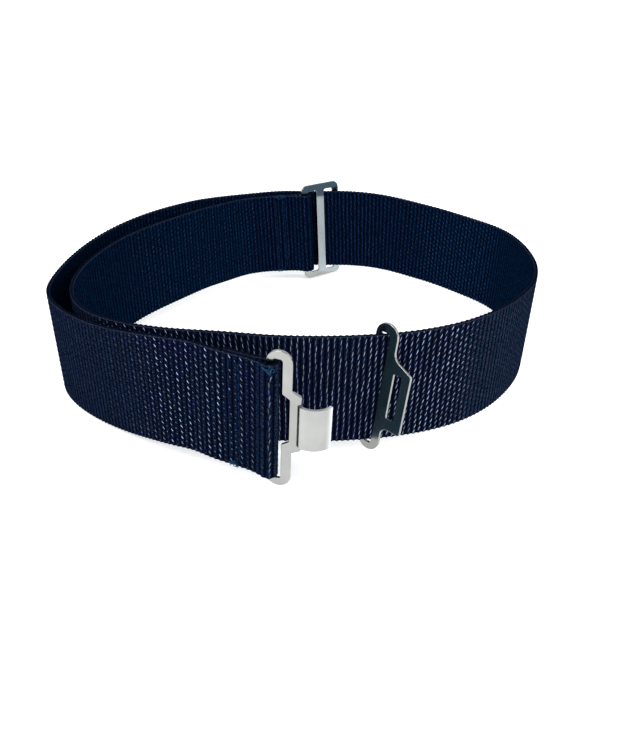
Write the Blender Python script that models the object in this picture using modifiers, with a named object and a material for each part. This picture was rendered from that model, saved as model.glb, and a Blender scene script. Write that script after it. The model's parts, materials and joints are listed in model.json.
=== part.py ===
"""Webbing weight belt with a hook plate, an eye plate and a three-bar slide.

The strap stands on edge as a closed loop. Row frame: metres, +Z up, the hook plate towards -Y, the slide
at the back towards +Y, and the origin under the middle of the belt's box. Lengths below are in
millimetres until PLAN_TO_ROW turns them into metres.
"""
import math

import bmesh
import bpy
import numpy as np
from mathutils import Matrix, Vector

MM = 0.001
GAP = 0.3                      # running gap between pieces that touch

# Webbing
WIDTH = 50.0
THICK = 1.8
LAYER = (THICK + GAP) / 2      # from the middle of a sewn double layer to the middle of each layer

# Stamped plates, each drawn about its own middle: x across the plate, y up
SHEET = 1.3
EDGE = 0.25                    # rounding of a stamped edge
TALL = 59.0                    # height of the hook and eye plates
BAR = 2.6                      # width of the bar that carries the webbing
SLOT_CORNER = 1.0              # radius of the webbing slots' corners

# Hook plate: its free side is stepped out in the middle and carries the tongue
HOOK_LOBE = 4.93               # half the plate's width above and below the step, and radius of its ends
HOOK_SIDE = 3.8                # width of the free side
HOOK_SLOT = 52.0
HOOK_BAR_MIDDLE = -HOOK_LOBE + BAR / 2
STEP_OUT = 8.57
STEP_SIDE = 4.5
STEP_OUTER = (0.4, 13.5, 11.7) # middle of the step, and half its height where it starts and where it is full
STEP_INNER = (1.1, 11.0, 9.2)
TONGUE_HIGH = 17.6
TONGUE_SHEET = 1.2
TONGUE_CROWN = 7.6             # radius of the tongue's curved back
TONGUE_MIDDLE = (STEP_OUT + 2.9, -5.6)

# Eye plate: a tab on its free side holds the catch slot
EYE_LOBE = 5.3
EYE_SLOT = (-EYE_LOBE + BAR, 1.5)
EYE_SLOT_ENDS = (-26.0, 25.3)
EYE_OUT = 14.4
EYE_BOTTOM, EYE_TOP, EYE_NECK = -15.9, 11.9, 16.2
CATCH = (6.5, 10.4)
CATCH_ENDS = (-10.5, 10.1)

# Three-bar slide
SLIDE_WIDE = 26.5
SLIDE_TALL = 61.2
SLIDE_SLOT = 53.2
SIDE_BAR = 4.5
CENTRE_BAR = 5.4
SLIDE_BAR_MIDDLE = -(SLIDE_WIDE - SIDE_BAR) / 2

# Where the pieces stand in plan, as drawn about the middle of the loop
HOOK_BAR = (-11.0, -106.7)     # axis of the bar in the outer end of the strap
HOOK_BASE = 10.7               # height of the strap's lower edge there
HOOK_RUN = math.radians(-24)   # direction in which the strap arrives
HOOK_YAW = math.radians(-16)
HOOK_LEAN = math.radians(1.5)
HOOK_RISE = 0.5                # how far the plate sits above the middle of the strap

SLIDE_AT = (9.0, 117.8)
SLIDE_YAW = math.radians(29.5)
SLIDE_BASE = 6.8
SLIDE_DROP = 0.5               # the slide hangs a little below the middle of the strap
SLIDE_LEAN = math.radians(3.2)
SLIDE_CROSS = (13.9, 120.6)    # where the running strap passes the slide's free slot
CROSS_RUN = math.radians(-6)
CROSS_BASE = 6.2
SLIDE_RUN = 0.0                # direction in which the sewn inner end arrives
LEAN_FULL, LEAN_END = 25.0, 75.0    # how far from its bar the strap leans fully, and where it stands straight

FRONT_CENTRE = (0.0, 92.2)     # the front of the loop is an arc, along which the eye plate slides
FRONT_RADIUS = 170.0
FRONT_BASE = 5.6
EYE_ANGLE = math.radians(10.4)
EYE_OPEN = math.radians(53)    # angle between the eye plate and the strap
EYE_LEAN = math.radians(5.5)
EYE_RISE = 0.2                 # how far the eye plate sits above the middle of the strap
EYE_CROSS = -0.7               # where the strap passes through the eye plate, across the plate

# Sewn ends: (inner radius of the fold, distances of the two seams and of the cut end from the bar)
HOOK_FOLD = 1.75
HOOK_SEAMS = (11.5, 15.5)
HOOK_CUT = 19.0
SLIDE_FOLD = 2.65
SLIDE_SEAMS = (13.0, 18.0)
SLIDE_CUT = 22.0
SEWN_END = 24.0
FOLD_START = 10.0

# Seams
THREAD = 0.35                  # radius
NEEDLE = THREAD + GAP
STITCH = 4.0
STITCHES = 11

TAIL_CUT = (-118.6, -18.0)     # where the outer layer bends open
TAIL_GAP = 0.6

ORIGIN = (-0.392, 5.590)       # middle of the belt's box in plan
PLAN_TO_ROW = Matrix.Scale(MM, 4) @ Matrix.Translation((-ORIGIN[0], -ORIGIN[1], 0))

# Points (x, y, height of the lower edge) that the middle of the webbing passes between its two folds
LOOP_LEFT = [
    (-38.5, 106, 7.1), (-48.5, 95, 7.3), (-62, 77, 7.5), (-78, 55, 7.5), (-93, 33.5, 6.6), (-103, 10.5, 4.9),
    (-107, -12.5, 2.9), (-103, -33.5, 1.8), (-91.5, -50, 1.8), (-75, -61.8, 2.9), (-52, -71.3, 4.7),
]
LOOP_RIGHT = [
    (66.5, -65, 7.3), (80, -56, 8.0), (95, -38.5, 7.3), (105, -21, 5.8), (113, 1, 3.6), (118, 27, 1.3),
    (118, 52, 0.3), (112, 74, 0.1), (98.5, 90.5, 0.6), (82.5, 104.5, 1.7), (64.5, 113.5, 3.4),
    (45, 118.2, 4.8), (31.5, 119.5, 5.6),
]
TAIL = [
    (-12, 121, 7.2), (-31, 116.7, 7.8), (-51, 107, 7.8), (-69, 92, 7.6), (-85, 74.5, 7.5), (-99.5, 55.5, 6.3),
    (-111.5, 33.5, 3.9), (-118, 10.5, 1.5), (-119.3, -11, 0.1), (-116.3, -27, 0.0), (-107.5, -41.5, 0.0),
    (-90.5, -57.5, 0.7), (-75, -70, 3.4), (-61, -80.8, 6.7), (-50, -88, 8.8), (-41, -92.8, 10.0),
]


# ---------------------------------------------------------------- strap route

def along(angle):
    return np.array((math.cos(angle), math.sin(angle)))


def left_of(angle):
    return np.array((-math.sin(angle), math.cos(angle)))


def front_point(angle, radius=FRONT_RADIUS):
    """A point on the arc at the front of the loop; the angle is from straight ahead, towards +X."""
    return np.array(FRONT_CENTRE) + radius * np.array((math.sin(angle), -math.cos(angle)))


def spline(points, start, end):
    """A smooth curve through points, with set directions at both ends, about a point per 1.5 mm."""
    points = np.array(points, float)
    steps = np.linalg.norm(np.diff(points[:, :2], axis=0), axis=1)
    n = len(points)
    lhs, rhs = np.zeros((n, n)), np.zeros((n, 3))
    lhs[0, 0] = lhs[-1, -1] = 1
    rhs[0, :2], rhs[-1, :2] = start, end
    for i in range(1, n - 1):
        before, after = steps[i - 1], steps[i]
        lhs[i, i - 1 : i + 2] = after, 2 * (before + after), before
        arriving, leaving = (points[i] - points[i - 1]) / before, (points[i + 1] - points[i]) / after
        rhs[i] = 3 * (after * arriving + before * leaving)
    slopes = np.linalg.solve(lhs, rhs)
    out = []
    for i, step in enumerate(steps):
        for t in np.linspace(0, 1, max(2, round(step / 1.5)), endpoint=False):
            out.append(
                (2 * t**3 - 3 * t**2 + 1) * points[i] + (t**3 - 2 * t**2 + t) * step * slopes[i]
                + (3 * t**2 - 2 * t**3) * points[i + 1] + (t**3 - t**2) * step * slopes[i + 1]
            )
    out.append(points[-1])
    return [np.array((x, y, max(0, base))) for x, y, base in out]


def fold_half(inner_radius):
    """Half of a sewn fold as (distance past the bar, offset), from the double layer to the fold's nose."""
    radius = inner_radius + THICK / 2
    lift = math.radians(20)
    touch = np.array((-radius * math.sin(lift), radius * math.cos(lift)))
    reach = touch[0] + FOLD_START
    half = []
    for t in np.linspace(0, 1, 7)[:-1]:
        rise = (3 * t**2 - 2 * t**3) * (touch[1] - LAYER) + (t**3 - t**2) * reach * math.tan(lift)
        half.append((-FOLD_START + reach * t, LAYER + rise))
    for turn in np.linspace(math.pi / 2 + lift, 0, 8):
        half.append((radius * math.cos(turn), radius * math.sin(turn)))
    return half


def fold(bar, run, base, inner_radius, cut, side):
    """The route round a bar, from the end of the double layer's main side to the cut end.

    side is -1 where the main side lies to the right of the run, and +1 where it lies to the left.
    """
    half = fold_half(inner_radius)
    flat = [(a, b) for a, b in half] + [(a, -b) for a, b in half[-2::-1]]
    flat += [(-FOLD_START - (cut - FOLD_START) * t, -LAYER) for t in (0.5, 1.0)]
    place = [np.array(bar) + a * along(run) + side * b * left_of(run) for a, b in flat]
    return [np.array((x, y, base)) for x, y in place]


def sewn_point(bar, run, base, distance, side):
    """A point on the main side of a double layer, that far from the bar."""
    x, y = np.array(bar) - distance * along(run) + side * LAYER * left_of(run)
    return x, y, base


def slide_bar():
    return np.array(SLIDE_AT) + SLIDE_BAR_MIDDLE * along(SLIDE_YAW)


def strap_route():
    """The middle line of the whole strap, from the cut end at the slide to the cut end at the hook."""
    front = [(*front_point(math.radians(a)), FRONT_BASE) for a in (-10, -5, 0, 5, 10, 14)]
    cross = [(*(np.array(SLIDE_CROSS) + d * along(CROSS_RUN)), CROSS_BASE) for d in (7, 0, -7)]
    slide_end = [sewn_point(slide_bar(), SLIDE_RUN, SLIDE_BASE, d, -1) for d in (FOLD_START, 17, SEWN_END)]
    hook_end = [sewn_point(HOOK_BAR, HOOK_RUN, HOOK_BASE, d, -1) for d in (SEWN_END, 17, FOLD_START)]
    points = slide_end + LOOP_LEFT + front + LOOP_RIGHT + cross + TAIL + hook_end
    middle = spline(points, -along(SLIDE_RUN), along(HOOK_RUN))
    slide_fold = fold(slide_bar(), SLIDE_RUN, SLIDE_BASE, SLIDE_FOLD, SLIDE_CUT, -1)
    hook_fold = fold(HOOK_BAR, HOOK_RUN, HOOK_BASE, HOOK_FOLD, HOOK_CUT, -1)
    return np.array(slide_fold[:0:-1] + middle + hook_fold[1:])


def thinned(route, spacing=4.5, turn=math.radians(8)):
    """Leaves out points on gentle stretches, and keeps them where the strap turns tightly."""
    kept = [route[0]]
    for point, after in zip(route[1:-1], route[2:]):
        ahead, behind = after - point, point - kept[-1]
        bend = abs(math.atan2(behind[0] * ahead[1] - behind[1] * ahead[0], behind[:2] @ ahead[:2]))
        if np.linalg.norm(behind[:2]) >= spacing or bend >= turn:
            kept.append(point)
    return np.array(kept + [route[-1]])


def turned_about(pivot, axis, angle):
    return Matrix.Translation(pivot) @ Matrix.Rotation(angle, 4, axis) @ Matrix.Translation(-pivot)


def slide_lean():
    """Turns the slide and the strap's sewn end about the slide's bar, in the running strap's plane."""
    pivot = Vector((*slide_bar(), SLIDE_BASE + WIDTH / 2))
    return turned_about(pivot, Vector((*-left_of(CROSS_RUN), 0)), SLIDE_LEAN)


def hook_lean():
    """Turns the hook plate and the strap's other sewn end in that end's plane."""
    pivot = Vector((*HOOK_BAR, HOOK_BASE + WIDTH / 2))
    return turned_about(pivot, Vector((*-left_of(HOOK_RUN), 0)), -HOOK_LEAN)


def lean_share(xy, bar):
    distance = np.linalg.norm(np.array(xy) - np.array(bar))
    t = min(1, max(0, (LEAN_END - distance) / (LEAN_END - LEAN_FULL)))
    return t * t * (3 - 2 * t)


# ---------------------------------------------------------------- making objects

def clear_scene():
    for item in list(bpy.data.objects):
        bpy.data.objects.remove(item)


def collection(name):
    made = bpy.data.collections.new(name)
    bpy.context.scene.collection.children.link(made)
    return made


def material(name, colour, metallic, roughness):
    made = bpy.data.materials.new(name)
    made.use_nodes = True
    shader = made.node_tree.nodes["Principled BSDF"]
    shader.inputs["Base Color"].default_value = (*colour, 1)
    shader.inputs["Metallic"].default_value = metallic
    shader.inputs["Roughness"].default_value = roughness
    return made


def add(name, mesh, where, finish):
    item = bpy.data.objects.new(name, mesh)
    where.objects.link(item)
    item.data.materials.append(finish)
    return item


def curve_mesh(name, curve):
    """The closed mesh of a curve with its caps welded."""
    item = bpy.data.objects.new(name, curve)
    bpy.context.scene.collection.objects.link(item)
    evaluated = item.evaluated_get(bpy.context.evaluated_depsgraph_get())
    mesh = bpy.data.meshes.new_from_object(evaluated)
    bpy.data.objects.remove(item)
    shape = bmesh.new()
    shape.from_mesh(mesh)
    bmesh.ops.remove_doubles(shape, verts=shape.verts, dist=0.001 * MM)
    bmesh.ops.recalc_face_normals(shape, faces=shape.faces)
    shape.to_mesh(mesh)
    shape.free()
    mesh.name = name
    return mesh


def rounded(corners, step=math.radians(12)):
    """An outline through corners (x, y, radius), each rounded to its radius."""
    outline = []
    for i, (x, y, radius) in enumerate(corners):
        corner = np.array((x, y))
        towards = [np.array(corners[j][:2]) - corner for j in (i - 1, (i + 1) % len(corners))]
        back, on = (d / np.linalg.norm(d) for d in towards)
        half = math.acos(np.clip(back @ on, -1, 1)) / 2
        centre = corner + (back + on) / np.linalg.norm(back + on) * radius / math.sin(half)
        first = corner + back * radius / math.tan(half) - centre
        sweep = math.pi - 2 * half
        turn = math.copysign(sweep, back[1] * on[0] - back[0] * on[1])
        count = max(2, math.ceil(sweep / step))
        for k in range(count + 1):
            c, s = math.cos(turn * k / count), math.sin(turn * k / count)
            outline.append(centre + (c * first[0] - s * first[1], s * first[0] + c * first[1]))
    return [p for p, before in zip(outline, outline[-1:] + outline) if np.linalg.norm(p - before) > 0.001]


def flat_plate(name, outline, holes):
    """A stamped plate with rounded edges, lying in its own XY plane."""
    curve = bpy.data.curves.new(name, "CURVE")
    curve.dimensions = "2D"
    curve.fill_mode = "BOTH"
    curve.extrude = (SHEET / 2 - EDGE) * MM
    curve.bevel_depth = EDGE * MM
    curve.bevel_resolution = 1
    curve.offset = -EDGE * MM
    for ring in [outline] + [hole[::-1] for hole in holes]:
        line = curve.splines.new("POLY")
        line.points.add(len(ring) - 1)
        for point, (x, y) in zip(line.points, ring):
            point.co = (x * MM, y * MM, 0, 1)
        line.use_cyclic_u = True
    return curve_mesh(name, curve)


def standing(yaw):
    """Stands a flat plate on edge: its X along yaw in plan, its Y up."""
    across, up = Vector((*along(yaw), 0)), Vector((0, 0, 1))
    return Matrix((across, up, across.cross(up))).transposed().to_4x4()


def rotation_of(matrix):
    return matrix.to_3x3().to_4x4()


def row_matrix(turn, place):
    """The matrix that puts a piece modelled in metres at a place in the plan."""
    return Matrix.Translation(PLAN_TO_ROW @ place) @ turn


# ---------------------------------------------------------------- the pieces

def strap_mesh(name, route, bar, lean):
    """A band standing on edge along the route; its thickness comes from Solidify."""
    shape = bmesh.new()
    rows = []
    for x, y, base in route:
        share = lean_share((x, y), bar)
        ends = [Vector((x, y, base + height)) for height in (0, WIDTH)]
        rows.append([shape.verts.new(PLAN_TO_ROW @ end.lerp(lean @ end, share)) for end in ends])
    for (a, b), (d, c) in zip(rows, rows[1:]):
        shape.faces.new((a, d, c, b))
    mesh = bpy.data.meshes.new(name)
    shape.to_mesh(mesh)
    shape.free()
    return mesh


def thicken(item, thickness):
    solid = item.modifiers.new("Thickness", "SOLIDIFY")
    solid.thickness = thickness * MM
    solid.offset = 0
    solid.use_even_offset = True


def needle_cutter(name, where, matrices):
    """One object of short rods, one for each needle hole."""
    shape = bmesh.new()
    size = {"radius1": NEEDLE * MM, "radius2": NEEDLE * MM, "depth": 4 * (THICK + GAP) * MM}
    for matrix in matrices:
        bmesh.ops.create_cone(shape, cap_ends=True, segments=6, matrix=matrix, **size)
    mesh = bpy.data.meshes.new(name)
    shape.to_mesh(mesh)
    shape.free()
    cutter = bpy.data.objects.new(name, mesh)
    where.objects.link(cutter)
    cutter.hide_render = True
    cutter.display_type = "WIRE"
    return cutter


def seam_frame(bar, run, base, distance):
    """Where a seam lies: X along the strap, Y across its two layers, Z up from the strap's lower edge."""
    x, y = np.array(bar) - distance * along(run)
    return Matrix.Translation((x, y, base)) @ Matrix.Rotation(run, 4, "Z")


def stitch_heights():
    first = (WIDTH - STITCH * STITCHES) / 2
    return [first + STITCH * k for k in range(STITCHES + 1)]


def seam_thread(name, frame):
    """The thread of one seam: it runs along one face, through a needle hole, along the other, and so on."""
    out = THICK + GAP / 2 + GAP + THREAD
    points, face = [], 1
    for height in stitch_heights():
        points += [(0, face * out, height), (0, -face * out, height)]
        face = -face
    curve = bpy.data.curves.new(name, "CURVE")
    curve.dimensions = "3D"
    curve.bevel_depth = THREAD * MM
    curve.bevel_resolution = 1
    curve.use_fill_caps = True
    line = curve.splines.new("POLY")
    line.points.add(len(points) - 1)
    for point, local in zip(line.points, points):
        point.co = (*(PLAN_TO_ROW @ (frame @ Vector(local))), 1)
    return curve_mesh(name, curve)


def hole_matrices(frame):
    turn = rotation_of(frame) @ Matrix.Rotation(math.pi / 2, 4, "X")
    return [Matrix.Translation(PLAN_TO_ROW @ (frame @ Vector((0, 0, h)))) @ turn for h in stitch_heights()]


def box_corners(across, up, radius):
    """The four corners of a rectangle between two places across and two up."""
    (left, right), (bottom, top) = across, up
    return [(left, bottom, radius), (right, bottom, radius), (right, top, radius), (left, top, radius)]


def stepped_ring(across, half_tall, step_out, step, radius, step_radius):
    """The corners of a tall rectangle whose right side steps out in the middle."""
    left, right = across
    middle, start, full = step
    side = [
        (right, middle - start, step_radius), (step_out, middle - full, step_radius),
        (step_out, middle + full, step_radius), (right, middle + start, step_radius),
    ]
    return [(left, -half_tall, radius), (right, -half_tall, radius), *side,
            (right, half_tall, radius), (left, half_tall, radius)]


def tongue_profile():
    """The middle line of the tongue, across the plate and out of it: a joggle, then a curved back."""
    joggle = [(STEP_OUT - 1.8, 0.0), (STEP_OUT - 1.1, 0.2), (STEP_OUT - 0.4, 0.9)]
    turns = [math.radians(a) for a in range(111, 15, -10)]
    middle = np.array(TONGUE_MIDDLE)
    return joggle + [tuple(middle + TONGUE_CROWN * along(a)) for a in turns]


def tongue(name, where, finish):
    """The tongue as a band along its profile, in the frame of the flat plate."""
    shape = bmesh.new()
    rows = []
    for across, out in tongue_profile():
        rows.append([shape.verts.new((across * MM, h * TONGUE_HIGH / 2 * MM, out * MM)) for h in (-1, 1)])
    for (a, b), (d, c) in zip(rows, rows[1:]):
        shape.faces.new((a, d, c, b))
    mesh = bpy.data.meshes.new(name)
    shape.to_mesh(mesh)
    shape.free()
    band = add(name, mesh, where, finish)
    thicken(band, TONGUE_SHEET)
    band.hide_render = True
    band.display_type = "WIRE"
    return band


def boolean(item, other, operation):
    cut = item.modifiers.new(operation.title(), "BOOLEAN")
    cut.operation = operation
    cut.object = other
    cut.solver = "EXACT"


def on_axis(item, matrix, axis_point):
    """Puts an object's origin on its joint's axis without moving its shape."""
    origin = PLAN_TO_ROW @ axis_point
    item.data.transform(Matrix.Translation(-origin) @ matrix)
    item.location = origin


def hook_plate(parts, tools, finish):
    sides = (-HOOK_LOBE, HOOK_LOBE)
    slot = (-HOOK_LOBE + BAR, HOOK_LOBE - HOOK_SIDE)
    outline = rounded(stepped_ring(sides, TALL / 2, STEP_OUT, STEP_OUTER, HOOK_LOBE, 0.9))
    hole = rounded(stepped_ring(slot, HOOK_SLOT / 2, STEP_OUT - STEP_SIDE, STEP_INNER, SLOT_CORNER, 0.7))
    plate = add("hook_plate", flat_plate("hook_plate", outline, [hole]), parts, finish)
    x, y = np.array(HOOK_BAR) - HOOK_BAR_MIDDLE * along(HOOK_YAW)
    lean = hook_lean()
    place = lean @ Vector((x, y, HOOK_BASE + WIDTH / 2 + HOOK_RISE))
    matrix = row_matrix(rotation_of(lean) @ standing(HOOK_YAW), place)
    guide = tongue("tongue_guide", tools, finish)
    boolean(plate, guide, "UNION")
    on_axis(plate, matrix, Vector((*HOOK_BAR, HOOK_BASE + WIDTH / 2)))
    guide.matrix_world = matrix


def eye_plate(parts, finish):
    half = TALL / 2
    outline = rounded([
        (-EYE_LOBE, -half, EYE_LOBE), (EYE_LOBE, -half, EYE_LOBE), (EYE_LOBE, EYE_BOTTOM, 3.4),
        (EYE_OUT, EYE_BOTTOM, 1.0), (EYE_OUT, EYE_TOP, 1.6), (EYE_LOBE, EYE_NECK, 4.0),
        (EYE_LOBE, half, EYE_LOBE), (-EYE_LOBE, half, EYE_LOBE),
    ])
    hole = rounded(box_corners(EYE_SLOT, EYE_SLOT_ENDS, SLOT_CORNER))
    catch = rounded(box_corners(CATCH, CATCH_ENDS, 0.7))
    plate = add("eye_plate", flat_plate("eye_plate", outline, [hole, catch]), parts, finish)
    outward = Vector((*-left_of(EYE_ANGLE), 0))
    turn = Matrix.Rotation(-EYE_LEAN, 4, outward) @ standing(EYE_ANGLE - EYE_OPEN)
    middle = Vector((*front_point(EYE_ANGLE), FRONT_BASE + WIDTH / 2 + EYE_RISE))
    place = middle - turn @ Vector((EYE_CROSS, 0, 0))
    on_axis(plate, row_matrix(turn, place), Vector((*FRONT_CENTRE, FRONT_BASE + WIDTH / 2)))


def slide(parts, finish):
    half, edge, bar = SLIDE_WIDE / 2, SLIDE_WIDE / 2 - SIDE_BAR, CENTRE_BAR / 2
    ends = (-SLIDE_SLOT / 2, SLIDE_SLOT / 2)
    outline = rounded(box_corners((-half, half), (-SLIDE_TALL / 2, SLIDE_TALL / 2), 4.0))
    holes = [rounded(box_corners(sides, ends, 1.2)) for sides in ((-edge, -bar), (bar, edge))]
    plate = add("three_bar_slide", flat_plate("three_bar_slide", outline, holes), parts, finish)
    lean = slide_lean()
    place = lean @ Vector((*SLIDE_AT, SLIDE_BASE + WIDTH / 2 - SLIDE_DROP))
    matrix = row_matrix(rotation_of(lean) @ standing(SLIDE_YAW), place)
    on_axis(plate, matrix, Vector((*slide_bar(), SLIDE_BASE + WIDTH / 2)))


def carry(piece, axis):
    """Parents a piece to the empty on its joint's axis, without moving the piece."""
    if axis:
        piece.parent = axis
        piece.matrix_parent_inverse = Matrix.Translation(axis.location).inverted()


def strap_and_seams(parts, tools, webbing, thread):
    route = strap_route()
    cut = int(np.argmin(np.linalg.norm(route[:, :2] - np.array(TAIL_CUT), axis=1)))
    step = route[cut + 1] - route[cut - 1]
    step *= TAIL_GAP / 2 / np.linalg.norm(step[:2])
    loop = np.vstack([thinned(route[:cut]), route[cut] - step])
    tail = np.vstack([route[cut] + step, thinned(route[cut + 1 :])])
    tail_axis = bpy.data.objects.new("tail_axis", None)
    tail_axis.location = PLAN_TO_ROW @ Vector((*TAIL_CUT, 0))
    parts.objects.link(tail_axis)
    ends = [
        ("slide_end", "strap_loop", loop, slide_lean(),
         (slide_bar(), SLIDE_RUN, SLIDE_BASE), SLIDE_SEAMS, None),
        ("hook_end", "strap_tail", tail, hook_lean(),
         (HOOK_BAR, HOOK_RUN, HOOK_BASE), HOOK_SEAMS, tail_axis),
    ]
    for end, name, line, lean, sewn_to, seams, axis in ends:
        strap = add(name, strap_mesh(name, line, sewn_to[0], lean), parts, webbing)
        thicken(strap, THICK)
        frames = [lean @ seam_frame(*sewn_to, distance) for distance in seams]
        holes = [matrix for frame in frames for matrix in hole_matrices(frame)]
        boolean(strap, needle_cutter(end + "_needle_holes", tools, holes), "DIFFERENCE")
        pieces = [strap]
        for number, frame in enumerate(frames, 1):
            seam = f"{end}_seam_{number}"
            pieces.append(add(seam, seam_thread(seam, frame), parts, thread))
        for piece in pieces:
            carry(piece, axis)


def main():
    clear_scene()
    parts, tools = collection("dive_weight_belt"), collection("cutters")
    webbing = material("navy_webbing", (0.006, 0.012, 0.045), 0, 0.6)
    thread = material("blue_thread", (0.02, 0.06, 0.14), 0, 0.5)
    steel = material("stamped_steel", (0.62, 0.61, 0.57), 1, 0.3)
    strap_and_seams(parts, tools, webbing, thread)
    hook_plate(parts, tools, steel)
    eye_plate(parts, steel)
    slide(parts, steel)


main()
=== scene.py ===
"""Looks of the webbing weight belt: woven strap, stitched ends and stamped plates.

The strap's route repeats the CAD source's points and sizes, in millimetres, and IN_ROW turns them
into the frame's metres. The webbing is one band, cut behind the slide into a part on the belt and
a part along the tail.
"""

import json
import math

import bmesh
import bpy
import numpy as np
from mathutils import Matrix, Vector

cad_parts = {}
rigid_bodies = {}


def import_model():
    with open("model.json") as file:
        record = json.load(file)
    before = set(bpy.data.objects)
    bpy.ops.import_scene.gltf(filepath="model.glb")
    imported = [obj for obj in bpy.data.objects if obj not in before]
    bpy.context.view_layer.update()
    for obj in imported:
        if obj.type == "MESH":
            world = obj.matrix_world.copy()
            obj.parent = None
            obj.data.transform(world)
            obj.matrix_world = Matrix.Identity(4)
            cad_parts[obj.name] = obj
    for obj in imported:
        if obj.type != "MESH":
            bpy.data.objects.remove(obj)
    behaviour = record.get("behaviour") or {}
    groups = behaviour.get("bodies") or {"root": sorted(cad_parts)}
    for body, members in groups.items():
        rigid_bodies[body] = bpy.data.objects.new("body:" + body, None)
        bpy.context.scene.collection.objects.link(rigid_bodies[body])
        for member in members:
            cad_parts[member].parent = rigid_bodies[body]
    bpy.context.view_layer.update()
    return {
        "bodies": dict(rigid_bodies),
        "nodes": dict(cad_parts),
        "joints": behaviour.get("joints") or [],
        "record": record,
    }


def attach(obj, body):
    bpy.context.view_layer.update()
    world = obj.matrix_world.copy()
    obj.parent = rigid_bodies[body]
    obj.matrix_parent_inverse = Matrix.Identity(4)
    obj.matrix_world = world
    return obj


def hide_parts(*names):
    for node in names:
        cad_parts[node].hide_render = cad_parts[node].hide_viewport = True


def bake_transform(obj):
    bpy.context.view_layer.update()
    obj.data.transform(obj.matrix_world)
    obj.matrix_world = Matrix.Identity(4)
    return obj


MM = 0.001
GAP = 0.3                      # running gap between pieces that touch

# Webbing
WIDTH = 50.0
THICK = 1.8
LAYER = (THICK + GAP) / 2      # from the middle of a sewn double layer to the middle of each layer
RIB = 2.4                      # distance between the weave's ribs, along the strap
PAIR = 2.7                     # distance between every other warp, across the strap
RELIEF = 0.22                  # depth of the weave
STATION = RIB / 3              # distance between the band's cross sections
ROW = PAIR / 4                 # distance between the band's points across its faces
SELVAGE = 0.7                  # height of the rounded edge
EDGE_TURNS = (30, 60, 90, 120, 150)    # degrees at which it has points
NICK = 0.28                    # how far the picks stand out of the edge
ROUTE_STEP = 1.5               # distance between the route's points
WEAVE_SHARP = math.radians(70)    # angle from which its edges shade sharp

# Bars that the strap's ends are sewn round, and the slide's slot that it runs through
HOOK_BAR = (-11.0, -106.7)
HOOK_BASE = 10.7               # height of the strap's lower edge there
HOOK_RUN = math.radians(-24)   # direction in which the strap arrives
HOOK_LEAN = math.radians(1.5)
SLIDE_AT = (9.0, 117.8)
SLIDE_YAW = math.radians(29.5)
SLIDE_BASE = 6.8
SLIDE_RUN = 0.0
SLIDE_LEAN = math.radians(3.2)
SLIDE_BAR_MIDDLE = -11.0       # from the slide's middle to the bar that holds the sewn end
SLIDE_CROSS = (13.9, 120.6)    # where the running strap passes the slide's free slot
CROSS_RUN = math.radians(-6)
CROSS_BASE = 6.2
CROSS_STEPS = (7, 0, -7)       # the route's points before, at and after the slot
LEAN_FULL, LEAN_END = 25.0, 75.0    # how far from its bar the strap leans fully, and not at all

# Sewn ends: inner radius of the fold, and how far the two seams and the cut end are from the bar
HOOK_FOLD = 1.75
HOOK_SEAMS = (11.5, 15.5)
HOOK_CUT = 19.0
SLIDE_FOLD = 2.65
SLIDE_SEAMS = (13.0, 18.0)
SLIDE_CUT = 22.0
FOLD_START = 10.0              # where the two layers start to part
FOLD_LIFT = math.radians(20)   # slope at which they part
FOLD_POINTS, NOSE_POINTS = 9, 20    # where they part, and round the bar
SEWN_STEPS = (FOLD_START, 17.0, 24.0)    # the route's points on the double layer

# Front of the loop: an arc, with the route's points at these degrees
FRONT_CENTRE = (0.0, 92.2)
FRONT_RADIUS = 170.0
FRONT_BASE = 5.6
FRONT_ANGLES = (-10, -5, 0, 5, 10, 14)

# Points (x, y, height of the lower edge) between the two folds
LOOP_LEFT = [
    (-38.5, 106, 7.1), (-48.5, 95, 7.3), (-62, 77, 7.5), (-78, 55, 7.5), (-93, 33.5, 6.6),
    (-103, 10.5, 4.9), (-107, -12.5, 2.9), (-103, -33.5, 1.8), (-91.5, -50, 1.8),
    (-75, -61.8, 2.9), (-52, -71.3, 4.7),
]
LOOP_RIGHT = [
    (66.5, -65, 7.3), (80, -56, 8.0), (95, -38.5, 7.3), (105, -21, 5.8), (113, 1, 3.6),
    (118, 27, 1.3), (118, 52, 0.3), (112, 74, 0.1), (98.5, 90.5, 0.6), (82.5, 104.5, 1.7),
    (64.5, 113.5, 3.4), (45, 118.2, 4.8), (31.5, 119.5, 5.6),
]
TAIL = [
    (-12, 121, 7.2), (-31, 116.7, 7.8), (-51, 107, 7.8), (-69, 92, 7.6), (-85, 74.5, 7.5),
    (-99.5, 55.5, 6.3), (-111.5, 33.5, 3.9), (-118, 10.5, 1.5), (-119.3, -11, 0.1),
    (-116.3, -27, 0.0), (-107.5, -41.5, 0.0), (-90.5, -57.5, 0.7), (-75, -70, 3.4),
    (-61, -80.8, 6.7), (-50, -88, 8.8), (-41, -92.8, 10.0),
]
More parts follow.
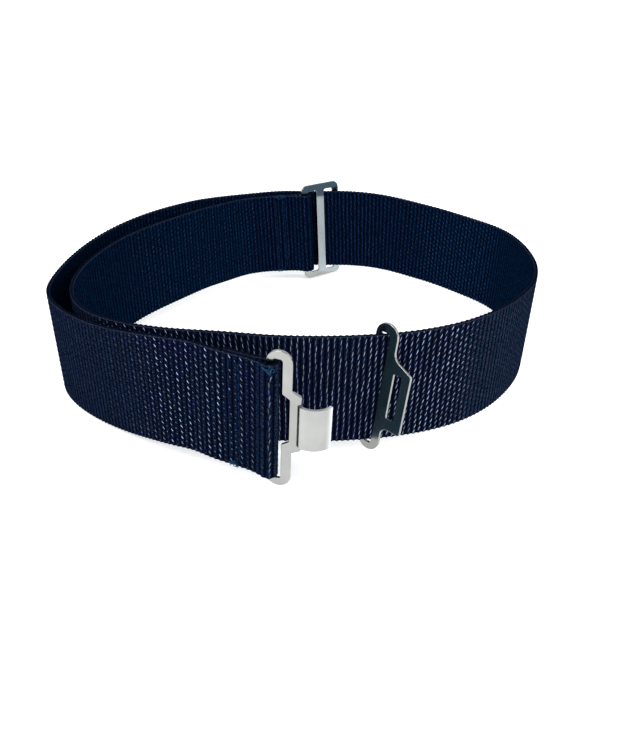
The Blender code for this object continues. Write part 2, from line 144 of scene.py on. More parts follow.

# Flecks of painted highlight: glints on the yarns. How a stretch shows them, and how they slant,
# is
# painted by its facing: 1 where its faces look along Y, 0 where they look along X. Each pair is
# where a change starts and where it is complete.
SLANT = 1.5                    # how fast the flecks' slant grows as faces turn to look along X
RIGHT_SHOWS = (0.82, 0.95)     # facing at which they show on outer faces turned to +X
LEFT_SHOWS = (0.77, 0.86)      # facing at which they show on outer faces turned to -X
FAINTEST = 0.06                # their strength on the other outer faces
INSIDE_SHOWS = (0.35, 0.65)    # facing at which they show on inner faces
INSIDE_FADES = (0.85, 0.98)    # facing at which those fade again
INSIDE_FADING = 0.6            # the share that they lose there
UPRIGHT_STRENGTH = 0.38        # their strength where they stand upright
UPRIGHT_ENDS = (0.1, 0.6)      # slants between which they turn from upright to slanted
SEWN_STRENGTH = 0.35           # their strength on the fold at the hook
SEWN_SHOWS = (6.0, 26.0)       # distances from the hook's bar between which it grows to full
FLECK_WIDE = 0.14              # half width of a fleck
FLECK_LONG = 1.35              # half length of an upright fleck
FLECK_SHORT = 0.62             # half length of a slanted fleck
FLECK_LENGTHS = (0.1, 0.7)     # slants between which the length changes
FLECK_SHIFT = 0.5              # how much flecks sit off their ribs, from one side to the other
FLECK_EDGE = (0.25, 1.35)      # squared shares of its half size where a fleck fades out
FLECK_LEVEL = 0.25             # strength of the weakest fleck
FLECK_SPREAD = 0.9             # how much stronger the strongest is
ODD_SHOWS = (-0.6, 0.0)        # slants between which odd ribs' flecks become like the others
ODD_SHORTER, ODD_WEAKER = 0.5, 0.6

# Seams
THREAD = 0.35                  # radius
STITCH = 4.0
STITCHES = 11
STITCH_POINTS = 8
STITCH_PROUD = 0.7             # how many radii the thread's middle stands off the cloth
STITCH_DIP = 1.1               # how deep it goes into the needle holes
STITCH_ARCH = 0.6              # lower is flatter on top

# Loose fibres
FIBRE = 0.09                   # radius
FIBRE_LONG = 2.2
FIBRE_POINTS = 9
FIBRE_RUN = (1.0, 0.35, 0.5)   # how much fibres run along the strap, out of it and up
FIBRE_CURL, FIBRE_TURN = 0.3, 3.0    # how far a fibre bows, and through which angle
FIBRE_PROUD = 0.25             # how far a wrapped fibre may stand off the fold
FIBRE_LOWEST = 0.1             # how near it may come to the strap's lower edge
FIBRE_OVER = 0.2               # how far it may reach over the upper edge
FIBRE_SEED = 7

# Plates
PLATE_WELD = 0.001             # distance within which points become one
PLATE_FLAT = math.radians(0.5)    # angle within which facets become one
PLATE_SHARP = math.radians(50)    # angle from which edges shade sharp

# Stage, in metres but for the camera's place
CAMERA_PLACE = (3.5, -311.0, 176.15)
CAMERA_DOWN = math.radians(30.55)
CAMERA_ROLL = math.radians(0.97)
CAMERA_LENS = 32.70
CAMERA_SENSOR = 36.0
WORLD_STRENGTH = 1.05
FLOOR_SIZE = 60.0
FLOOR_DROP = 0.0002
FLOOR_GLOW = 0.35
CARD_DISTANCE = 0.014

ORIGIN = (-0.392, 5.590)       # middle of the belt's box in plan
IN_ROW = Matrix.Scale(MM, 4) @ Matrix.Translation((-ORIGIN[0], -ORIGIN[1], 0))


# ---------------------------------------------------------------- strap route

def along(angle):
    return np.array((math.cos(angle), math.sin(angle)))


def left_of(angle):
    return np.array((-math.sin(angle), math.cos(angle)))


def front_point(angle):
    return np.array(FRONT_CENTRE) + FRONT_RADIUS * np.array((math.sin(angle), -math.cos(angle)))


def hermite(t, length, start, start_slope, end, end_slope):
    """The value at share t of a cubic stretch with these values and slopes at its ends."""
    return (
        (2 * t**3 - 3 * t**2 + 1) * start + (t**3 - 2 * t**2 + t) * length * start_slope
        + (3 * t**2 - 2 * t**3) * end + (t**3 - t**2) * length * end_slope
    )


def spline_slopes(points, steps, start, end):
    """The slope at each point of the smoothest curve through points, with both end slopes set."""
    count = len(points)
    lhs, rhs = np.zeros((count, count)), np.zeros((count, 3))
    lhs[0, 0] = lhs[-1, -1] = 1
    rhs[0, :2], rhs[-1, :2] = start, end
    for i in range(1, count - 1):
        before, after = steps[i - 1], steps[i]
        behind, ahead = points[i] - points[i - 1], points[i + 1] - points[i]
        lhs[i, i - 1 : i + 2] = after, 2 * (before + after), before
        rhs[i] = 3 * (after * behind / before + before * ahead / after)
    return np.linalg.solve(lhs, rhs)


def spline(points, start, end):
    """A smooth curve through points, with set directions at both ends."""
    points = np.array(points, float)
    steps = np.linalg.norm(np.diff(points[:, :2], axis=0), axis=1)
    slopes = spline_slopes(points, steps, start, end)
    out = []
    for i, step in enumerate(steps):
        for t in np.linspace(0, 1, max(2, round(step / ROUTE_STEP)), endpoint=False):
            out.append(hermite(t, step, points[i], slopes[i], points[i + 1], slopes[i + 1]))
    out.append(points[-1])
    return [np.array((x, y, max(0, base))) for x, y, base in out]


def fold_half(inner_radius):
    """Half of a sewn fold as (distance past the bar, offset), from its start to its nose."""
    radius = inner_radius + THICK / 2
    touch = np.array((-radius * math.sin(FOLD_LIFT), radius * math.cos(FOLD_LIFT)))
    reach = touch[0] + FOLD_START
    half = []
    for t in np.linspace(0, 1, FOLD_POINTS)[:-1]:
        rise = hermite(t, reach, 0.0, 0.0, touch[1] - LAYER, math.tan(FOLD_LIFT))
        half.append((-FOLD_START + reach * t, LAYER + rise))
    for turn in np.linspace(math.pi / 2 + FOLD_LIFT, 0, NOSE_POINTS):
        half.append((radius * math.cos(turn), radius * math.sin(turn)))
    return half


def fold(bar, run, base, inner_radius, cut):
    """The route round a bar, from the end of the double layer's main side to the cut end."""
    half = fold_half(inner_radius)
    flat = half + [(a, -b) for a, b in half[-2::-1]]
    flat += [(-FOLD_START - (cut - FOLD_START) * t, -LAYER) for t in (0.5, 1.0)]
    place = [np.array(bar) + a * along(run) - b * left_of(run) for a, b in flat]
    return [np.array((x, y, base)) for x, y in place]


def sewn_point(bar, run, base, distance):
    """A point on the main side of a double layer, that far from the bar."""
    x, y = np.array(bar) - distance * along(run) - LAYER * left_of(run)
    return x, y, base


def slide_bar():
    return np.array(SLIDE_AT) + SLIDE_BAR_MIDDLE * along(SLIDE_YAW)


def strap_route():
    """The middle line of the whole strap, from the cut end at the slide to the one at the hook."""
    front = [(*front_point(math.radians(angle)), FRONT_BASE) for angle in FRONT_ANGLES]
    cross = [(*(np.array(SLIDE_CROSS) + d * along(CROSS_RUN)), CROSS_BASE) for d in CROSS_STEPS]
    slide_end = [sewn_point(slide_bar(), SLIDE_RUN, SLIDE_BASE, d) for d in SEWN_STEPS]
    hook_end = [sewn_point(HOOK_BAR, HOOK_RUN, HOOK_BASE, d) for d in reversed(SEWN_STEPS)]
    points = slide_end + LOOP_LEFT + front + LOOP_RIGHT + cross + TAIL + hook_end
    middle = spline(points, -along(SLIDE_RUN), along(HOOK_RUN))
    slide_fold = fold(slide_bar(), SLIDE_RUN, SLIDE_BASE, SLIDE_FOLD, SLIDE_CUT)
    hook_fold = fold(HOOK_BAR, HOOK_RUN, HOOK_BASE, HOOK_FOLD, HOOK_CUT)
    return np.array(slide_fold[:0:-1] + middle + hook_fold[1:])


def turned_about(pivot, axis, angle):
    return Matrix.Translation(pivot) @ Matrix.Rotation(angle, 4, axis) @ Matrix.Translation(-pivot)


def slide_lean():
    pivot = Vector((*slide_bar(), SLIDE_BASE + WIDTH / 2))
    return turned_about(pivot, Vector((*-left_of(CROSS_RUN), 0)), SLIDE_LEAN)


def hook_lean():
    pivot = Vector((*HOOK_BAR, HOOK_BASE + WIDTH / 2))
    return turned_about(pivot, Vector((*-left_of(HOOK_RUN), 0)), -HOOK_LEAN)


def eased(value, low, high):
    """A smooth step from 0, where value is low, to 1, where it is high."""
    share = np.clip((value - low) / (high - low), 0, 1)
    return share * share * (3 - 2 * share)


def grown(least, share):
    """A value that grows from least to 1 with share."""
    return least + (1 - least) * share


# ---------------------------------------------------------------- webbing

def stations():
    """Cross sections along the strap: distance walked, place, direction across and lower edge."""
    route = strap_route()
    steps = np.linalg.norm(np.diff(route[:, :2], axis=0), axis=1)
    walked = np.concatenate([[0], np.cumsum(steps)])
    distance = np.linspace(0, walked[-1], round(walked[-1] / STATION) + 1)
    x, y, base = (np.interp(distance, walked, route[:, i]) for i in range(3))
    place = np.stack([x, y], axis=1)
    run = np.gradient(place, axis=0)
    run /= np.linalg.norm(run, axis=1)[:, None]
    right = np.stack([run[:, 1], -run[:, 0]], axis=1)
    return distance, place, right, base


def ring():
    """A cross section as (height, share of half the thickness), going round from below."""
    rows = round((WIDTH - 2 * SELVAGE) / ROW)
    faces = np.linspace(SELVAGE, WIDTH - SELVAGE, rows + 1)
    turn = np.radians(EDGE_TURNS)
    top = np.stack([WIDTH - SELVAGE + SELVAGE * np.sin(turn), np.cos(turn)], axis=1)
    bottom = np.stack([SELVAGE - SELVAGE * np.sin(turn), -np.cos(turn)], axis=1)
    outer = np.stack([faces, np.ones_like(faces)], axis=1)
    inner = np.stack([faces[::-1], -np.ones_like(faces)], axis=1)
    return np.vstack([outer, top, inner, bottom])


def band_points(distance, place, right, base, leans):
    """A stretch's points in metres, station by station, and the ring's heights and shares."""
    height, share = ring().T
    on_face = np.abs(share) == 1
    bump = np.cos(np.pi * distance[:, None] / RIB) * np.cos(2 * np.pi * height[None] / PAIR)
    depth = RELIEF / 2 * (1 - bump) * on_face
    side = share[None] * THICK / 2 - np.sign(share)[None] * depth
    outward = np.where(on_face, 0, np.sign(height - WIDTH / 2))
    nick = NICK * np.cos(2 * np.pi * distance / RIB)[:, None] * outward
    points = np.empty((len(distance), len(height), 3))
    points[..., :2] = place[:, None] + side[..., None] * right[:, None]
    points[..., 2] = base[:, None] + np.clip(height[None] + nick, 0, WIDTH)
    for lean, bar in leans:
        turned = points @ np.array(lean.to_3x3()).T + np.array(lean.translation)
        from_bar = np.linalg.norm(place - np.array(bar), axis=1)
        points += eased(from_bar, LEAN_END, LEAN_FULL)[:, None, None] * (turned - points)
    return (points - np.array((*ORIGIN, 0))) * MM, height, share


def fleck_lay(place, right):
    """How the painted highlights lie at each station, by its facing: slant, and strength on both
    faces.
    """
    across, facing = right[:, 0], np.abs(right[:, 1])
    slant = np.clip(SLANT * across, -1.0, 1.0)
    shown = np.where(across > 0, eased(facing, *RIGHT_SHOWS), eased(facing, *LEFT_SHOWS))
    upright = grown(UPRIGHT_STRENGTH, eased(np.abs(slant), *UPRIGHT_ENDS))
    from_bar = np.linalg.norm(place - np.array(HOOK_BAR), axis=1)
    sewn = grown(SEWN_STRENGTH, eased(from_bar, *SEWN_SHOWS))
    fading = 1.0 - INSIDE_FADING * eased(facing, *INSIDE_FADES)
    return slant, grown(FAINTEST, shown) * upright * sewn, eased(facing, *INSIDE_SHOWS) * fading


def band_mesh(name, points):
    """A closed mesh through a band's points, which are given station by station."""
    stretch, around = points.shape[:2]
    grid = np.arange(stretch * around).reshape(stretch, around)
    beside = np.roll(grid, -1, axis=1)
    quads = np.stack([grid[:-1], grid[1:], beside[1:], beside[:-1]], axis=-1).reshape(-1, 4)
    loops = np.concatenate([quads.ravel(), grid[0], grid[-1][::-1]])
    ends = [len(quads) * 4, len(quads) * 4 + around]
    starts = np.concatenate([np.arange(len(quads)) * 4, ends])
    mesh = bpy.data.meshes.new(name)
    mesh.vertices.add(stretch * around)
    mesh.vertices.foreach_set("co", points.astype(np.float32).ravel())
    mesh.loops.add(len(loops))
    mesh.loops.foreach_set("vertex_index", loops.astype(np.int32))
    mesh.polygons.add(len(starts))
    mesh.polygons.foreach_set("loop_start", starts.astype(np.int32))
    return mesh


def note(mesh, label, parts, shape):
    """Stores three numbers with each point, for the material."""
    parts = [np.broadcast_to(part, shape) for part in parts]
    attribute = mesh.attributes.new(label, "FLOAT_VECTOR", "POINT")
    attribute.data.foreach_set("vector", np.stack(parts, axis=-1).astype(np.float32).ravel())


def placed(name, data, finish):
    """A new object in the scene, with its material."""
    data.materials.append(finish)
    item = bpy.data.objects.new(name, data)
    bpy.context.scene.collection.objects.link(item)
    return item


def smooth(mesh, sharp_from):
    mesh.polygons.foreach_set("use_smooth", [True] * len(mesh.polygons))
    mesh.set_sharp_from_angle(angle=sharp_from)


def band(name, distance, place, right, base, leans, finish):
    """A closed woven band, with the coordinates of its weave on each point."""
    points, height, share = band_points(distance, place, right, base, leans)
    shape = points.shape[:2]
    mesh = band_mesh(name, points)
    note(mesh, "weave", (distance[:, None], height[None], share[None]), shape)
    note(mesh, "lay", [part[:, None] for part in fleck_lay(place, right)], shape)
    mesh.update(calc_edges=True)
    mesh.validate()
    smooth(mesh, WEAVE_SHARP)
    return placed(name, mesh, finish)


def webbing(finish):
    """The strap's two stretches: the loop as far as the slide, and the tail to the hook."""
    distance, place, right, base = stations()
    cut = int(np.argmin(np.linalg.norm(place - np.array(SLIDE_CROSS), axis=1)))
    parts = [slice(0, cut + 1), slice(cut, None)]
    lines = (distance, place, right, base)
    loop_part, tail_part = ([line[part] for line in lines] for part in parts)
    at_slide, at_hook = (slide_lean(), slide_bar()), (hook_lean(), HOOK_BAR)
    loop = band("loop_webbing", *loop_part, [at_slide], finish)
    tail = band("tail_webbing", *tail_part, [at_slide, at_hook], finish)
    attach(loop, "belt")
    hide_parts("strap_loop")
    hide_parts("strap_tail")
    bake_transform(tail)


# ---------------------------------------------------------------- materials

def rgba(red, green, blue):
    return red, green, blue, 1.0


# The webbing's colours. Of a pair, the tint moves between both.
PLAIN = rgba(0.0045, 0.0140, 0.038), rgba(0.0065, 0.0100, 0.050)
GREYER = rgba(0.0080, 0.0130, 0.026)
# painted sheen: lighter blue where the strap turns to the side
PAINTED_SHEEN = rgba(0.012, 0.032, 0.062), rgba(0.022, 0.030, 0.066)
# painted shade: the inner faces are a darker copy of the navy
INSIDE = rgba(0.0026, 0.0095, 0.036), rgba(0.0012, 0.0068, 0.022)
# painted light: lighter inner faces where the strap turns to the side
INSIDE_TURNED = rgba(0.0026, 0.0160, 0.046)
# painted shade in the weave's hollows
HOLLOW_SHADE = rgba(0.0004, 0.0010, 0.0045)
# painted highlight: the flecks' glints on the outer faces, then on the inner faces
FLECK_GLINT = rgba(0.58, 0.70, 1.0), rgba(0.50, 0.55, 0.78)
INSIDE_FLECK_GLINT = rgba(0.034, 0.075, 0.200)
# the strap's edges: dark on their middle, with a painted highlight on their shoulders
SHOULDER = rgba(0.0020, 0.0032, 0.008), rgba(0.026, 0.036, 0.066)

# Steps in its material: where each change starts and where it is complete
OUTSIDE_STEP = (-0.2, 0.2)     # from the inner to the outer face, as shares of half the thickness
GRAIN_STEP, TINT_STEP, PATCH_STEP = (0.38, 0.64), (0.38, 0.62), (0.35, 0.65)    # of noises
EDGE_STEP = (24.3, 24.45)      # distance from the strap's middle
SHOULDER_GLINT_STEP = (0.5, 0.9)         # from an edge's middle to its shoulder, where its painted highlight grows
TURNED_RIGHT, TURNED_LEFT = (0.35, 1.0), (-0.8, -1.0)    # slants at which a turned face gets painted sheen
LEFT_SHEEN = 0.45               # how much painted sheen faces turned to the left get
WARP_SHARE = 0.5               # the warps' part in the relief
CREST_STEP = (0.0, 0.85)

# Its noises, in features for each millimetre of flat strap
GRAIN_SCALE, TINT_SCALE, PATCH_SCALE, FIBRE_SCALE = 1.9, 0.55, 0.05, 1.0
FIBRE_STRETCH = (1.2, 7.0)     # how much finer the fibres' noise is along the strap and across it
FACES_APART = 3.0              # keeps the noises of the two faces apart
CLOTH_BUMP = 0.00012

# Other looks: scales for each metre, and bumps in metres
STEEL_FACE = rgba(0.22, 0.225, 0.215), rgba(0.37, 0.37, 0.355)
# painted highlight on the plates' rounded edges
STEEL_EDGE_GLINT = rgba(0.66, 0.67, 0.68)
CLOUD_SCALE, BRUSH_SCALE, TWIST_SCALE = 90.0, 2600.0, 1500.0
BRUSH_STRETCH = 0.06
STEEL_GLINT_STEP = (0.57, 0.68)      # pointiness at which the edges' painted highlight starts and where it is full
STEEL_CLOUDS = (0.3, 0.7)
STEEL_ROUGHNESS = (0.12, 0.22)
STEEL_BUMP, THREAD_BUMP = 0.00001, 0.0001


class Look:
    """A Principled material whose graph is built by calls that each return a node's output."""

    def __init__(self, name, **constants):
        self.material = bpy.data.materials.new(name)
        self.material.use_nodes = True
        self.tree = self.material.node_tree
        self.shader = self.tree.nodes["Principled BSDF"]
        for socket, value in constants.items():
            self.shader.inputs[socket.replace("_", " ")].default_value = value

    def add(self, kind, inputs, output=0, **settings):
        made = self.tree.nodes.new(kind)
        for key, value in settings.items():
            setattr(made, key, value)
        for key, value in inputs.items():
            self.put(made.inputs[key], value)
        return made.outputs[output]

    def put(self, socket, value):
        if isinstance(value, bpy.types.NodeSocket):
            self.tree.links.new(value, socket)
        else:
            socket.default_value = value

    def set(self, socket, value):
        self.put(self.shader.inputs[socket], value)

    def math(self, operation, *values):
        return self.add("ShaderNodeMath", dict(enumerate(values)), operation=operation)

    def plus(self, a, b):
        return self.math("ADD", a, b)

    def minus(self, a, b):
        return self.math("SUBTRACT", a, b)

    def times(self, a, b):
        return self.math("MULTIPLY", a, b)

    def over(self, a, b):
        return self.math("DIVIDE", a, b)

    def squared(self, a):
        return self.math("POWER", a, 2.0)

    def size(self, a):
        return self.math("ABSOLUTE", a)

    def lessened(self, a, share):
        """1 less that share of a."""
        return self.minus(1.0, self.times(a, share))

    def nearest(self, a):
        return self.math("FLOOR", self.plus(a, 0.5))

    def between(self, value, low, high, start=0.0, end=1.0):
        """A smooth step from start, where value is low, to end, where it is high."""
        inputs = {0: value, 1: low, 2: high, 3: start, 4: end}
        return self.add("ShaderNodeMapRange", inputs, interpolation_type="SMOOTHSTEP")

    def mix(self, share, a, b):
        """A colour from a to b."""
        inputs = {0: share, 6: a, 7: b}
        return self.add("ShaderNodeMix", inputs, output=2, data_type="RGBA")

    def number(self, share, a, b):
        """A number from a to b."""
        return self.add("ShaderNodeMix", {0: share, 2: a, 3: b})

    def vector(self, x, y, z=0.0):
        return self.add("ShaderNodeCombineXYZ", {0: x, 1: y, 2: z})

    def split(self, vector):
        made = self.tree.nodes.new("ShaderNodeSeparateXYZ")
        self.put(made.inputs[0], vector)
        return list(made.outputs)

    def attribute(self, name):
        return self.split(self.add("ShaderNodeAttribute", {}, "Vector", attribute_name=name))

    def object_place(self):
        return self.add("ShaderNodeTexCoord", {}, "Object")

    def noise(self, vector, scale, detail=2.0, roughness=0.5):
        inputs = {"Vector": vector, "Scale": scale, "Detail": detail, "Roughness": roughness}
        return self.add("ShaderNodeTexNoise", inputs)

    def random(self, x, y):
        """A number from 0 to 1 for each whole x and y."""
        inputs = {"Vector": self.vector(x, y)}
        return self.add("ShaderNodeTexWhiteNoise", inputs, noise_dimensions="3D")

    def bump(self, height, distance, strength=1.0):
        inputs = {"Height": height, "Distance": distance, "Strength": strength}
        self.set("Normal", self.add("ShaderNodeBump", inputs))


def fleck(look, s, w, slant):
    """Where painted highlights show: a dash on each rib at every other warp, weaker on odd ribs.
    """
    column = look.nearest(look.over(s, RIB))
    odd = look.math("FLOORED_MODULO", column, 2.0)
    u = look.minus(s, look.times(column, RIB))
    rise = look.plus(look.over(w, PAIR), look.times(odd, 0.5))
    row = look.nearest(rise)
    v = look.times(look.minus(rise, row), PAIR)
    chance = look.random(column, row)
    off_rib = look.minus(look.random(row, look.plus(column, 0.5)), 0.5)
    straight = look.minus(u, look.times(slant, v))
    across = look.plus(straight, look.times(off_rib, FLECK_SHIFT))
    weak = look.times(odd, look.between(slant, *ODD_SHOWS, 1.0, 0.0))
    reach = look.between(look.size(slant), *FLECK_LENGTHS, FLECK_LONG, FLECK_SHORT)
    reach = look.times(reach, look.lessened(weak, ODD_SHORTER))
    wide, long = look.over(across, FLECK_WIDE), look.over(v, reach)
    mark = look.between(look.plus(look.squared(wide), look.squared(long)), *FLECK_EDGE, 1.0, 0.0)
    level = look.plus(look.times(chance, FLECK_SPREAD), FLECK_LEVEL)
    return look.times(mark, look.times(level, look.lessened(weak, ODD_WEAKER)))


def raised(look, s, w):
    """How far the weave stands out at a place: most where a rib and a warp cross."""
    ridge = look.size(look.math("COSINE", look.times(s, math.pi / RIB)))
    warp = look.size(look.math("COSINE", look.times(w, 2 * math.pi / PAIR)))
    crest = look.times(ridge, look.plus(look.times(warp, WARP_SHARE), 1.0 - WARP_SHARE))
    return look.between(crest, *CREST_STEP)


def outer_cloth(look, cloth, tint, slant):
    """Navy that is patchy and greyish, with painted sheen where the strap turns to the side."""
    patch = look.between(look.noise(cloth, PATCH_SCALE, 3.0), *PATCH_STEP)
    plain = look.mix(tint, look.mix(patch, *PLAIN), GREYER)
    # painted sheen on faces that turn to the side
    to_left = look.between(slant, *TURNED_LEFT, 0.0, LEFT_SHEEN)
    turned = look.math("MAXIMUM", look.between(slant, *TURNED_RIGHT), to_left)
    return look.mix(turned, plain, look.mix(tint, *PAINTED_SHEEN))


def inner_cloth(look, tint, slant):
    # inner faces: navy in painted shade, with painted light where the strap turns to the side
    return look.mix(look.size(slant), look.mix(tint, *INSIDE), INSIDE_TURNED)


def webbing_look():
    """Navy nylon: ribs and warps in relief, painted highlights as flecks, painted shade inside the
    loop.
    """
    look = Look("navy_webbing_look", Roughness=0.7, Specular_IOR_Level=0.0)
    s, w, side = look.attribute("weave")
    slant, outer, inner = look.attribute("lay")
    outside = look.between(side, *OUTSIDE_STEP)
    cloth = look.vector(s, w, look.times(side, FACES_APART))
    grain = look.between(look.noise(cloth, GRAIN_SCALE, 3.0, 0.75), *GRAIN_STEP)
    tint = look.between(look.noise(cloth, TINT_SCALE, 2.0), *TINT_STEP)

    lit = look.mix(outside, inner_cloth(look, tint, slant), outer_cloth(look, cloth, tint, slant))
    # painted shade in the weave's hollows, mixed with dark spots of random grain
    base = look.mix(look.times(raised(look, s, w), grain), HOLLOW_SHADE, lit)
    # the flecks' colour, a painted highlight, dimmer on the inner faces
    fleck_glint = look.mix(outside, INSIDE_FLECK_GLINT, look.mix(tint, *FLECK_GLINT))
    strength = look.number(outside, inner, outer)
    woven = look.mix(look.times(fleck(look, s, w, slant), strength), base, fleck_glint)

    on_edge = look.between(look.size(look.minus(w, WIDTH / 2)), *EDGE_STEP)
    # painted highlight on the shoulders of the strap's edges, broken up by random grain
    edge_glint = look.times(look.between(look.size(side), *SHOULDER_GLINT_STEP), grain)
    look.set("Base Color", look.mix(on_edge, woven, look.mix(edge_glint, *SHOULDER)))

    fine_s, fine_w = (look.times(place, fine) for place, fine in zip((s, w), FIBRE_STRETCH))
    fibres = look.noise(look.vector(fine_s, fine_w, side), FIBRE_SCALE, 2.0)
    look.bump(fibres, CLOTH_BUMP, 0.5)
    return look.material


def steel_look():
    """Polished stainless sheet: faintly scuffed, with a painted highlight on its rounded edges."""
    look = Look("polished_steel_look", Metallic=1.0)
    place = look.object_place()
    x, y, z = look.split(place)
    cloudy = look.noise(place, CLOUD_SCALE, 4.0)
    # painted highlight where the edges are rounded and pointiness is high
    edge_glint = look.between(look.add("ShaderNodeNewGeometry", {}, "Pointiness"), *STEEL_GLINT_STEP)
    look.set("Base Color", look.mix(edge_glint, look.mix(cloudy, *STEEL_FACE), STEEL_EDGE_GLINT))
    look.set("Roughness", look.between(cloudy, *STEEL_CLOUDS, *STEEL_ROUGHNESS))
    brushed = look.noise(look.vector(x, y, look.times(z, BRUSH_STRETCH)), BRUSH_SCALE, 2.0)
    look.bump(brushed, STEEL_BUMP, 0.3)
    return look.material


def thread_look(name, dark, light):
    """Twisted sewing thread between two colours."""
    look = Look(name, Roughness=0.8, Specular_IOR_Level=0.0)
    twist = look.noise(look.object_place(), TWIST_SCALE, 2.0)
    look.set("Base Color", look.mix(twist, dark, light))
    look.bump(twist, THREAD_BUMP, 0.6)
    return look.material


# ---------------------------------------------------------------- seams

def seam_frame(bar, run, base, distance):
    """Where a seam lies: X along the strap, Y across its two layers, Z up from its lower edge."""
    x, y = np.array(bar) - distance * along(run)
    return Matrix.Translation((x, y, base)) @ Matrix.Rotation(run, 4, "Z")


def stitch_line(frame, face):
    """One thread of a lockstitch: it arches over each stitch and dips into the needle holes."""
    first = (WIDTH - STITCH * STITCHES) / 2
    out = THICK + GAP / 2 + THREAD * STITCH_PROUD
    points = []
    for k in range(STITCHES):
        for t in np.linspace(0, 1, STITCH_POINTS, endpoint=k == STITCHES - 1):
            lift = out - STITCH_DIP * (1 - math.sin(math.pi * t) ** STITCH_ARCH)
            point = Vector((0, face * lift, first + STITCH * (k + t)))
            points.append(IN_ROW @ (frame @ point))
    return points


def tube(name, lines, radius, finish):
    """Round threads through lines of points, as one object."""
    curve = bpy.data.curves.new(name, "CURVE")
    curve.dimensions = "3D"
    curve.bevel_depth = radius
    curve.bevel_resolution = 2
    curve.use_fill_caps = True
    for points in lines:
        line = curve.splines.new("POLY")
        line.points.add(len(points) - 1)
        for point, co in zip(line.points, points):
            point.co = (*co, 1)
        line.use_smooth = True
    return placed(name, curve, finish)


def seams(finish):
    ends = [
        ("hook_end", "tail", hook_lean(), HOOK_BAR, HOOK_RUN, HOOK_BASE, HOOK_SEAMS),
        ("slide_end", "belt", slide_lean(), slide_bar(), SLIDE_RUN, SLIDE_BASE, SLIDE_SEAMS),
    ]
    for end, body, lean, bar, run, base, places in ends:
        for number, distance in enumerate(places, 1):
            frame = lean @ seam_frame(bar, run, base, distance)
            lines = [stitch_line(frame, face) for face in (1, -1)]
            item = tube(f"{end}_lockstitch_{number}", lines, THREAD * MM, finish)
            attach(item, body)
            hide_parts(f"{end}_seam_{number}")


def fibre(frame, middle, spread, wrap, draw):
    """A loose fibre that curls near a place, wrapped round a fold or close to the strap's face."""
    start = middle + draw.uniform(-1, 1, 3) * spread
    run = draw.normal(size=3) * FIBRE_RUN
    run /= np.linalg.norm(run)
    curl = np.cross(run, draw.normal(size=3))
    proud = draw.uniform(0.0, FIBRE_PROUD)
    points = []
    for t in np.linspace(-0.5, 0.5, FIBRE_POINTS):
        bow = FIBRE_CURL * curl * math.cos(FIBRE_TURN * t)
        point = start + FIBRE_LONG * (run * t + bow)
        if wrap:
            point[:2] *= (wrap + proud) / np.linalg.norm(point[:2])
        else:
            point[1] = np.clip(point[1], middle[1] - spread[1], middle[1] + spread[1])
        point[2] = np.clip(point[2], FIBRE_LOWEST, WIDTH + FIBRE_OVER)
        points.append(IN_ROW @ (frame @ Vector(point)))
    return points


def tuft(frame, middle, spread, count, wrap, draw):
    """Loose fibres round a place in a seam's frame; wrap is the radius of the fold, or 0."""
    middle, spread = np.array(middle), np.array(spread)
    return [fibre(frame, middle, spread, wrap, draw) for _ in range(count)]


def loose_ends(finish):
    """Frayed thread at the ends of the seams, and frayed webbing where it is cut."""
    draw = np.random.default_rng(FIBRE_SEED)
    front = -THICK - GAP / 2
    nose = HOOK_FOLD + THICK
    hook = hook_lean() @ seam_frame(HOOK_BAR, HOOK_RUN, HOOK_BASE, 0)
    at_slide = slide_lean() @ seam_frame(slide_bar(), SLIDE_RUN, SLIDE_BASE, 0)
    # The middle, spread and number of each tuft's fibres, and the fold's radius
    hook_tufts = [
        ((1.2, -3.3, WIDTH - 1.6), (1.8, 0.3, 1.2), 14, nose),
        ((-14.0, front, 1.0), (1.9, 0.25, 1.0), 24, 0),
    ]
    slide_tufts = [
        ((-15.0, front, WIDTH - 0.8), (2.2, 0.3, 0.7), 14, 0),
        ((-17.5, front, 1.0), (1.6, 0.3, 0.8), 14, 0),
        ((-SLIDE_CUT, 0.0, 0.4), (1.0, 1.6, 0.5), 12, 0),
    ]
    ends = (("hook_end", "tail", hook, hook_tufts), ("slide_end", "belt", at_slide, slide_tufts))
    for end, body, frame, tufts in ends:
        lines = [line for place in tufts for line in tuft(frame, *place, draw)]
        item = tube(end + "_loose_fibres", lines, FIBRE * MM, finish)
        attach(item, body)


# ---------------------------------------------------------------- plates

def plate(node, body, nodes, finish):
    """The plate's CAD shape with its facets joined and its rounded edges shaded smooth."""
    shape = bmesh.new()
    shape.from_mesh(nodes[node].data)
    bmesh.ops.remove_doubles(shape, verts=shape.verts, dist=PLATE_WELD * MM)
    bmesh.ops.dissolve_limit(shape, angle_limit=PLATE_FLAT, verts=shape.verts, edges=shape.edges)
    mesh = bpy.data.meshes.new(node + "_steel")
    shape.to_mesh(mesh)
    shape.free()
    smooth(mesh, PLATE_SHARP)
    item = placed(node + "_steel", mesh, finish)
    item.modifiers.new("Flat faces", "WEIGHTED_NORMAL").keep_sharp = True
    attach(item, body)
    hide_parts(node)


# ---------------------------------------------------------------- stage

def camera():
    data = bpy.data.cameras.new("camera")
    data.sensor_width = CAMERA_SENSOR
    data.lens = CAMERA_LENS
    item = bpy.data.objects.new("camera", data)
    bpy.context.scene.collection.objects.link(item)
    tilt = Matrix.Rotation(math.pi / 2 - CAMERA_DOWN, 4, "X")
    aim = tilt @ Matrix.Rotation(CAMERA_ROLL, 4, "Z")
    item.matrix_world = Matrix.Translation(IN_ROW @ Vector(CAMERA_PLACE)) @ aim
    bpy.context.scene.camera = item


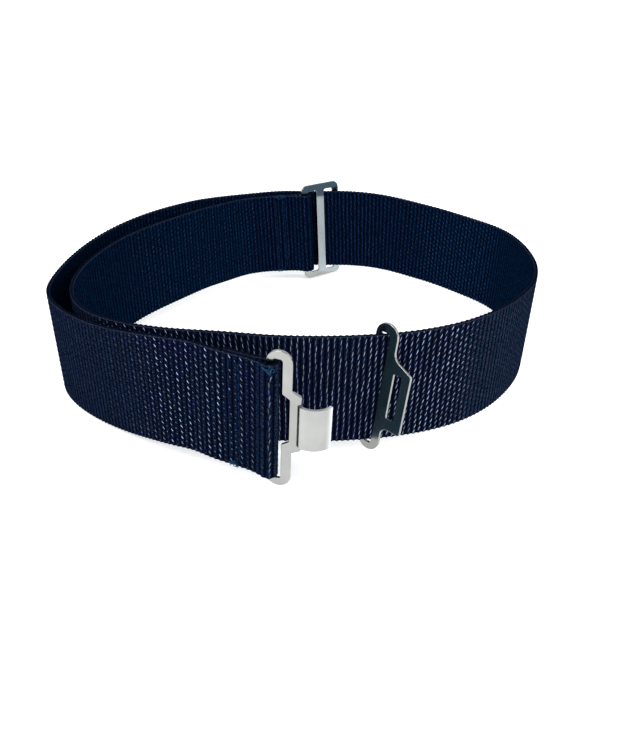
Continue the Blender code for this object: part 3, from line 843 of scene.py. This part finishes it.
def area_light(name, place, size, energy):
    data = bpy.data.lights.new(name, "AREA")
    data.shape = "DISK"
    data.size = size
    data.energy = energy
    item = bpy.data.objects.new(name, data)
    bpy.context.scene.collection.objects.link(item)
    item.location = place
    item.rotation_euler = (-Vector(place)).to_track_quat("-Z", "Y").to_euler()


def floor():
    """A white floor that glows a little, so that it keeps only a faint shadow."""
    bpy.ops.mesh.primitive_plane_add(size=FLOOR_SIZE, location=(0, 0, -FLOOR_DROP))
    item = bpy.context.object
    item.name = "floor"
    look = Look("floor_look", Roughness=0.8)
    look.set("Base Color", rgba(0.92, 0.92, 0.92))
    look.set("Emission Color", rgba(1.0, 1.0, 1.0))
    look.set("Emission Strength", FLOOR_GLOW)
    item.data.materials.append(look.material)


def card(name, beside, towards, size, colour, glow):
    """A studio card that only gloss sees, a little way from a plate: the plate mirrors it."""
    bpy.ops.mesh.primitive_plane_add(size=1.0)
    item = bpy.context.object
    item.name = name
    towards = Vector(towards).normalized()
    item.scale = (*size, 1.0)
    item.rotation_euler = towards.to_track_quat("Z", "Y").to_euler()
    item.location = Vector(beside) + CARD_DISTANCE * towards
    for ray in ("camera", "diffuse", "shadow", "transmission", "volume_scatter"):
        setattr(item, "visible_" + ray, False)
    look = Look(name + "_look", Roughness=1.0, Specular_IOR_Level=0.0)
    look.set("Base Color", colour)
    look.set("Emission Color", colour)
    look.set("Emission Strength", glow)
    item.data.materials.append(look.material)


def cards():
    """A dark card before the eye plate, and a light and a bluish one before the slide."""
    eye_plate, eye_faces = (0.034, -0.084, 0.031), (-0.93, -0.25, 0.0)
    card("dark_card", eye_plate, eye_faces, (0.05, 0.058), rgba(0.035, 0.070, 0.105), 0.0)
    slide_faces = (0.86, -0.51, 0.0)
    slide_bars, slide_rail = (0.0095, 0.1126, 0.022), (0.0095, 0.1126, 0.065)
    card("light_card", slide_bars, slide_faces, (0.04, 0.058), rgba(0.80, 0.90, 1.0), 1.25)
    card("rail_card", slide_rail, slide_faces, (0.04, 0.027), rgba(0.15, 0.26, 0.36), 0.5)


def studio():
    world = bpy.data.worlds.new("studio")
    world.use_nodes = True
    backdrop = world.node_tree.nodes["Background"]
    backdrop.inputs["Color"].default_value = rgba(0.95, 0.97, 1.0)
    backdrop.inputs["Strength"].default_value = WORLD_STRENGTH
    bpy.context.scene.world = world
    area_light("key", (-0.5, -0.5, 0.9), 0.7, 9.0)
    area_light("fill", (0.8, -0.3, 0.6), 0.8, 4.0)
    bpy.context.scene.view_settings.view_transform = "Standard"
    floor()
    cards()


# ---------------------------------------------------------------- the whole


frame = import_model()
camera()
webbing(webbing_look())
seams(thread_look("blue_thread_look", rgba(0.002, 0.006, 0.020), rgba(0.005, 0.015, 0.042)))
loose_ends(thread_look("teal_fibre_look", rgba(0.003, 0.018, 0.050), rgba(0.014, 0.080, 0.15)))
steel = steel_look()
plate("hook_plate", "hook_plate", frame["nodes"], steel)
plate("eye_plate", "eye_plate", frame["nodes"], steel)
plate("three_bar_slide", "slide", frame["nodes"], steel)
studio()
